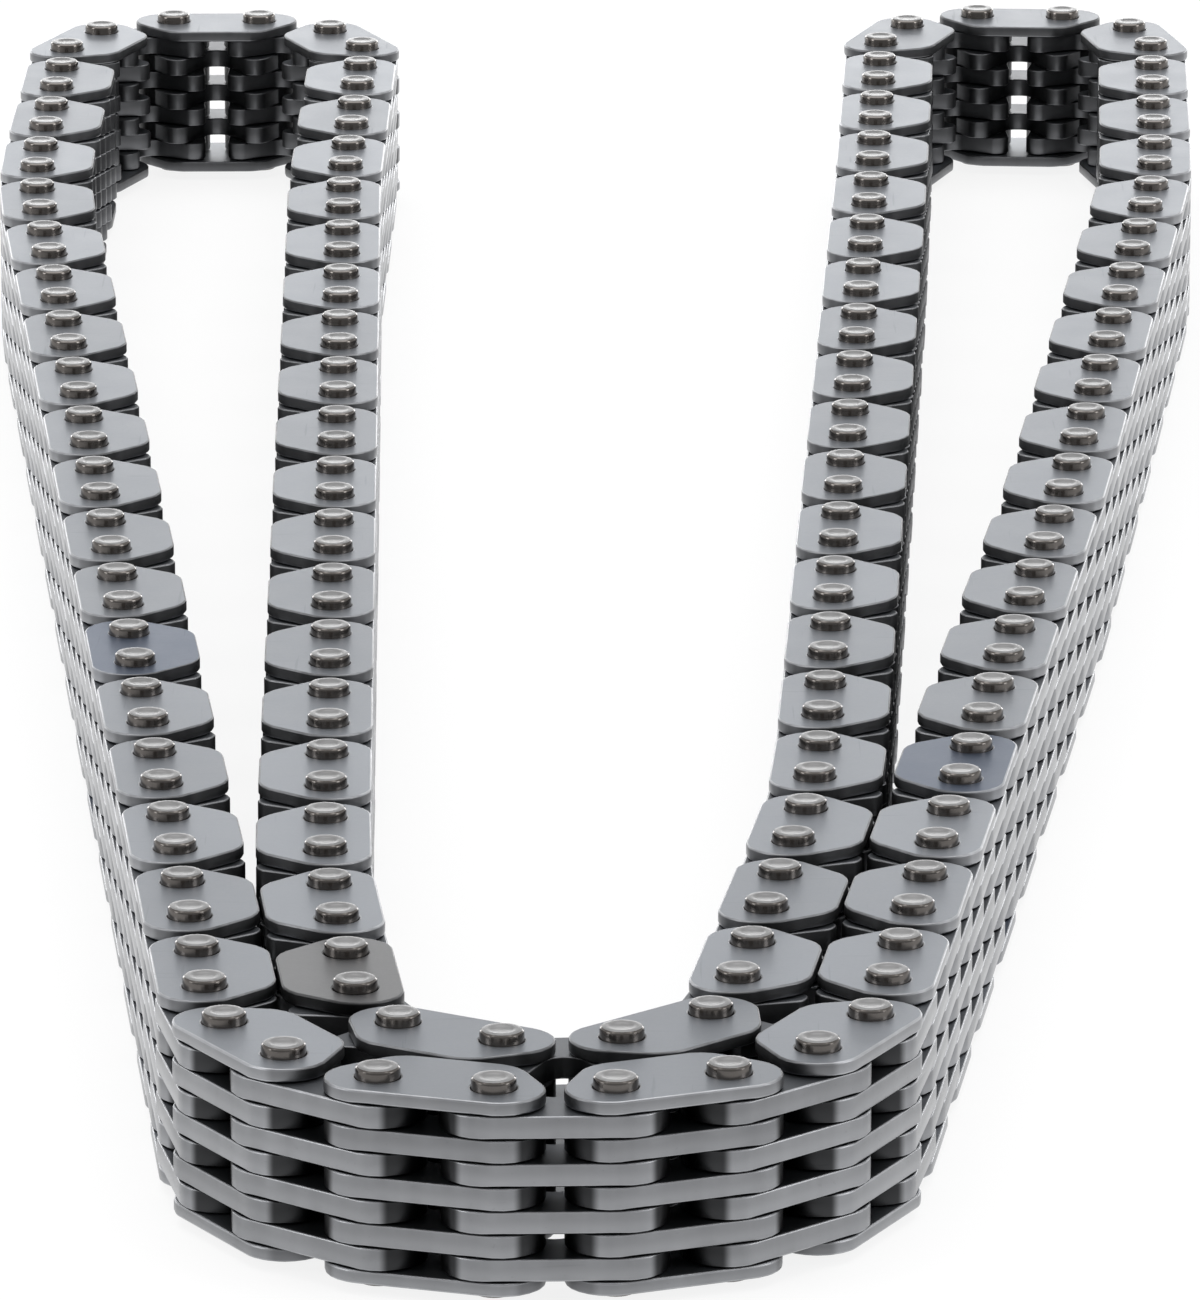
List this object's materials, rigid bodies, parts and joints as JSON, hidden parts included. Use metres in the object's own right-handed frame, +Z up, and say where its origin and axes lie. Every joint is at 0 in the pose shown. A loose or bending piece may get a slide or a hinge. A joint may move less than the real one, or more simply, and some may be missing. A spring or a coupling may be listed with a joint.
{
  "type": "timing chain",
  "caption": "Endless inverted-tooth timing chain of stacked toothed plates, guide plates and cross pins, laid on edge in a U.",
  "frame": {"origin": "middle of the outer box in plan, on the surface that the lower pin ends stand on", "axes": "+Z up along the pins; +Y from the shared front bow towards the two far loops; +X to the right seen from the front"},
  "size_m": [0.0855, 0.262, 0.0119],
  "materials": {
    "guide_plate": "satin, tumbled",
    "tooth_plate": "satin, tumbled, blanked edges",
    "pin": "dark, polished ends",
    "marked_plate": "satin, heat blued"
  },
  "bodies": {
    "front": {"front_outer_guide_plates": "guide_plate", "front_outer_tooth_plates": "tooth_plate", "front_outer_pins": "pin", "front_inner_guide_plates": "guide_plate", "front_inner_tooth_plates": "tooth_plate", "front_inner_pins": "pin"},
    "right_outer_near": {"right_outer_near_guide_plates": "guide_plate", "right_outer_near_tooth_plates": "tooth_plate", "right_outer_near_pins": "pin", "right_marked_plates": "marked_plate"},
    "right_outer_mid": {"right_outer_mid_guide_plates": "guide_plate", "right_outer_mid_tooth_plates": "tooth_plate", "right_outer_mid_pins": "pin"},
    "right_outer_knee": {"right_outer_knee_guide_link": "guide_plate", "right_outer_knee_tooth_plates": "tooth_plate"},
    "right_outer_far": {"right_outer_far_guide_plates": "guide_plate", "right_outer_far_tooth_plates": "tooth_plate", "right_outer_far_pins": "pin"},
    "right_loop": {"right_loop_guide_plates": "guide_plate", "right_loop_tooth_plates": "tooth_plate", "right_loop_pins": "pin"},
    "right_inner_far": {"right_inner_far_guide_plates": "guide_plate", "right_inner_far_tooth_plates": "tooth_plate", "right_inner_far_pins": "pin"},
    "right_inner_knee": {"right_inner_knee_guide_link": "guide_plate", "right_inner_knee_tooth_plates": "tooth_plate"},
    "right_inner_mid": {"right_inner_mid_guide_plates": "guide_plate", "right_inner_mid_tooth_plates": "tooth_plate", "right_inner_mid_pins": "pin"},
    "right_inner_near": {"right_inner_near_guide_plates": "guide_plate", "right_inner_near_tooth_plates": "tooth_plate", "right_inner_near_pins": "pin"},
    "left_inner_near": {"left_inner_near_guide_plates": "guide_plate", "left_inner_near_tooth_plates": "tooth_plate", "left_inner_near_pins": "pin"},
    "left_inner_mid": {"left_inner_mid_guide_plates": "guide_plate", "left_inner_mid_tooth_plates": "tooth_plate", "left_inner_mid_pins": "pin"},
    "left_inner_knee": {"left_inner_knee_guide_link": "guide_plate", "left_inner_knee_tooth_plates": "tooth_plate"},
    "left_inner_far": {"left_inner_far_guide_plates": "guide_plate", "left_inner_far_tooth_plates": "tooth_plate", "left_inner_far_pins": "pin"},
    "left_loop": {"left_loop_guide_plates": "guide_plate", "left_loop_tooth_plates": "tooth_plate", "left_loop_pins": "pin"},
    "left_outer_far": {"left_outer_far_guide_plates": "guide_plate", "left_outer_far_tooth_plates": "tooth_plate", "left_outer_far_pins": "pin"},
    "left_outer_knee": {"left_outer_knee_guide_link": "guide_plate", "left_outer_knee_tooth_plates": "tooth_plate"},
    "left_outer_mid": {"left_outer_mid_guide_plates": "guide_plate", "left_outer_mid_tooth_plates": "tooth_plate", "left_outer_mid_pins": "pin", "left_marked_plates": "marked_plate"},
    "left_outer_near": {"left_outer_near_guide_plates": "guide_plate", "left_outer_near_tooth_plates": "tooth_plate", "left_outer_near_pins": "pin"}
  },
  "joints": [
    {"name": "right_arm_spread", "type": "hinge", "parent": "front", "child": "right_outer_near", "pos_m": [0.01492, -0.10965, 0.00592], "axis": [0, 0, -1], "range_deg": [0, 15]},
    {"name": "right_outer_turn", "type": "hinge", "parent": "right_outer_near", "child": "right_outer_mid", "pos_m": [0.02848, -0.00896, 0.00592], "axis": [0, 0, -1], "range_deg": [-14.26, 0.5]},
    {"name": "right_outer_knee_turn", "type": "hinge", "parent": "right_outer_mid", "child": "right_outer_knee", "pos_m": [0.03793, 0.07305, 0.00592], "axis": [0, 0, -1], "range_deg": [-0.5, 4.75]},
    {"name": "right_end_sway", "type": "hinge", "parent": "right_outer_knee", "child": "right_outer_far", "pos_m": [0.03906, 0.09206, 0.00592], "axis": [0, 0, 1], "range_deg": [-20, 20]},
    {"name": "right_loop_turn", "type": "hinge", "parent": "right_outer_far", "child": "right_loop", "pos_m": [0.04007, 0.11744, 0.00592], "axis": [0, 0, 1], "range_deg": [-20.5, 20.5]},
    {"name": "right_inner_near_turn", "type": "hinge", "parent": "front", "child": "right_inner_near", "pos_m": [0.00859, -0.09673, 0.00592], "axis": [0, 0, -1], "range_deg": [-0.5, 16.84]},
    {"name": "right_inner_mid_turn", "type": "hinge", "parent": "right_inner_near", "child": "right_inner_mid", "pos_m": [0.01441, -0.01444, 0.00592], "axis": [0, 0, -1], "range_deg": [-14.21, 0.5]},
    {"name": "right_inner_knee_turn", "type": "hinge", "parent": "right_inner_mid", "child": "right_inner_knee", "pos_m": [0.01785, 0.06168, 0.00592], "axis": [0, 0, -1], "range_deg": [-0.5, 3.36]},
    {"name": "right_inner_far_turn", "type": "hinge", "parent": "right_inner_knee", "child": "right_inner_far", "pos_m": [0.01869, 0.08071, 0.00592], "axis": [0, 0, 1], "range_deg": [-20.5, 20.5]},
    {"name": "left_arm_spread", "type": "hinge", "parent": "front", "child": "left_outer_near", "pos_m": [-0.02169, -0.11089, 0.00592], "axis": [0, 0, 1], "range_deg": [0, 15]},
    {"name": "left_outer_turn", "type": "hinge", "parent": "left_outer_near", "child": "left_outer_mid", "pos_m": [-0.02738, -0.05402, 0.00592], "axis": [0, 0, 1], "range_deg": [-12.47, 0.5]},
    {"name": "left_outer_knee_turn", "type": "hinge", "parent": "left_outer_mid", "child": "left_outer_knee", "pos_m": [-0.03977, 0.07237, 0.00592], "axis": [0, 0, 1], "range_deg": [-0.5, 1.69]},
    {"name": "left_end_sway", "type": "hinge", "parent": "left_outer_knee", "child": "left_outer_far", "pos_m": [-0.04008, 0.09141, 0.00592], "axis": [0, 0, 1], "range_deg": [-20, 20]},
    {"name": "left_loop_turn", "type": "hinge", "parent": "left_outer_far", "child": "left_loop", "pos_m": [-0.03987, 0.11046, 0.00592], "axis": [0, 0, 1], "range_deg": [-20.5, 20.5]},
    {"name": "left_inner_near_turn", "type": "hinge", "parent": "front", "child": "left_inner_near", "pos_m": [-0.01487, -0.09862, 0.00592], "axis": [0, 0, 1], "range_deg": [-0.5, 16.11]},
    {"name": "left_inner_mid_turn", "type": "hinge", "parent": "left_inner_near", "child": "left_inner_mid", "pos_m": [-0.01648, -0.04786, 0.00592], "axis": [0, 0, 1], "range_deg": [-12.52, 0.5]},
    {"name": "left_inner_knee_turn", "type": "hinge", "parent": "left_inner_mid", "child": "left_inner_knee", "pos_m": [-0.0182, 0.06008, 0.00592], "axis": [0, 0, 1], "range_deg": [-0.5, 1.13]},
    {"name": "left_inner_far_turn", "type": "hinge", "parent": "left_inner_knee", "child": "left_inner_far", "pos_m": [-0.01842, 0.07912, 0.00592], "axis": [0, 0, 1], "range_deg": [-20.5, 20.5]}
  ],
  "couplings": [
    {"joint": "right_outer_turn", "follows": "right_arm_spread", "ratio": -0.91736},
    {"joint": "right_outer_knee_turn", "follows": "right_arm_spread", "ratio": 0.28323},
    {"joint": "right_loop_turn", "follows": "right_end_sway", "ratio": -1},
    {"joint": "right_inner_near_turn", "follows": "right_arm_spread", "ratio": 1.0892},
    {"joint": "right_inner_mid_turn", "follows": "right_arm_spread", "ratio": -0.91405},
    {"joint": "right_inner_knee_turn", "follows": "right_arm_spread", "ratio": 0.19072},
    {"joint": "right_inner_far_turn", "follows": "right_end_sway", "ratio": 1},
    {"joint": "left_outer_turn", "follows": "left_arm_spread", "ratio": -0.79811},
    {"joint": "left_outer_knee_turn", "follows": "left_arm_spread", "ratio": 0.07939},
    {"joint": "left_loop_turn", "follows": "left_end_sway", "ratio": -1},
    {"joint": "left_inner_near_turn", "follows": "left_arm_spread", "ratio": 1.0408},
    {"joint": "left_inner_mid_turn", "follows": "left_arm_spread", "ratio": -0.80142},
    {"joint": "left_inner_knee_turn", "follows": "left_arm_spread", "ratio": 0.04188},
    {"joint": "left_inner_far_turn", "follows": "left_end_sway", "ratio": 1}
  ]
}
